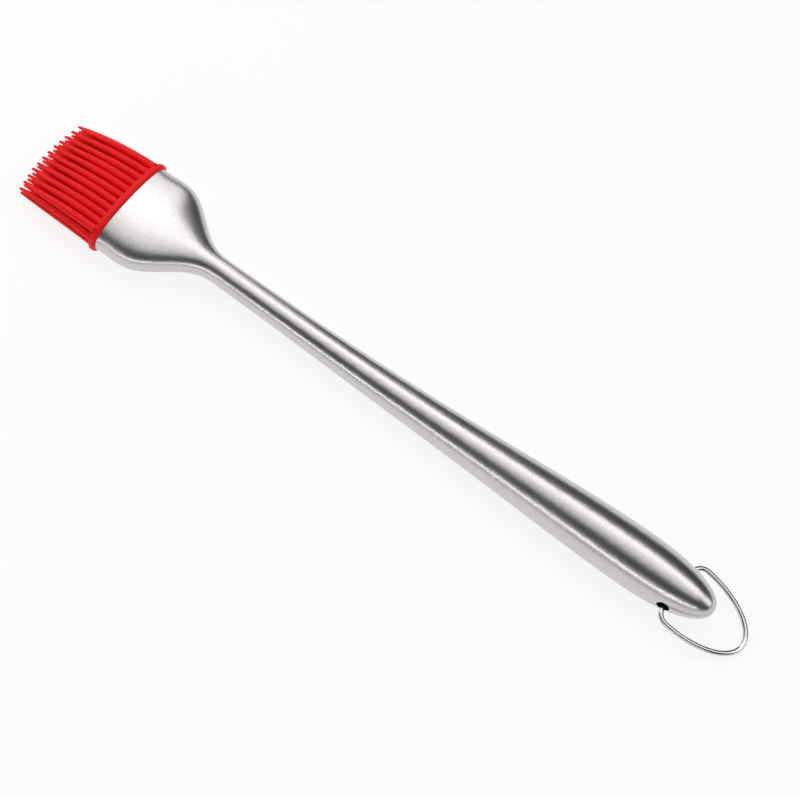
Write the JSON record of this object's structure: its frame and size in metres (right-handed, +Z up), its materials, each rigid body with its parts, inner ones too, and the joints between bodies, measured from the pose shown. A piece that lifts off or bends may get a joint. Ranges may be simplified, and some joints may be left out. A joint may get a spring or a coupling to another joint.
{
  "type": "pastry brush",
  "caption": "Flat-headed brush for spreading glaze or oil, with soft tapered bristles, a hollow round metal handle and a wire loop to hang it by.",
  "frame": {"origin": "under the middle of the whole brush, on the surface that it lies on", "axes": "+X from the bristles to the hanging loop, +Y across the brush, +Z up from the surface that it lies on"},
  "size_m": [0.3222, 0.0434, 0.0219],
  "materials": {
    "steel_sheet": "satin brushed",
    "steel_wire": "bright drawn wire",
    "silicone": "satin moulded silicone",
    "core_plastic": "moulded nylon"
  },
  "bodies": {
    "handle": {"handle_upper_shell": "steel_sheet", "handle_lower_shell": "steel_sheet", "head_base": "silicone", "head_core": "core_plastic"},
    "loop": {"hang_loop": "steel_wire"},
    "bristles_1": {"bristle_row_1": "silicone"},
    "bristles_2": {"bristle_row_2": "silicone"},
    "bristles_3": {"bristle_row_3": "silicone"},
    "bristles_4": {"bristle_row_4": "silicone"}
  },
  "joints": [
    {"name": "loop_swing", "type": "hinge", "parent": "handle", "child": "loop", "pos_m": [0.13096, 0, 0.00992], "axis": [0, -1, 0], "range_deg": [-140, 168]},
    {"name": "row_1_bend", "type": "hinge", "parent": "handle", "child": "bristles_1", "pos_m": [-0.12234, 0, 0.01455], "axis": [0, 1, 0], "range_deg": [-20, 20], "stiffness_Nm_per_rad": 0.014},
    {"name": "row_2_bend", "type": "hinge", "parent": "handle", "child": "bristles_2", "pos_m": [-0.12234, 0, 0.01125], "axis": [0, 1, 0], "range_deg": [-20, 20], "stiffness_Nm_per_rad": 0.014},
    {"name": "row_3_bend", "type": "hinge", "parent": "handle", "child": "bristles_3", "pos_m": [-0.12234, 0, 0.00795], "axis": [0, 1, 0], "range_deg": [-20, 20], "stiffness_Nm_per_rad": 0.014},
    {"name": "row_4_bend", "type": "hinge", "parent": "handle", "child": "bristles_4", "pos_m": [-0.12234, 0, 0.00465], "axis": [0, 1, 0], "range_deg": [-20, 20], "stiffness_Nm_per_rad": 0.014}
  ],
  "couplings": [
    {"joint": "row_2_bend", "follows": "row_1_bend", "ratio": 1},
    {"joint": "row_3_bend", "follows": "row_1_bend", "ratio": 1},
    {"joint": "row_4_bend", "follows": "row_1_bend", "ratio": 1}
  ]
}
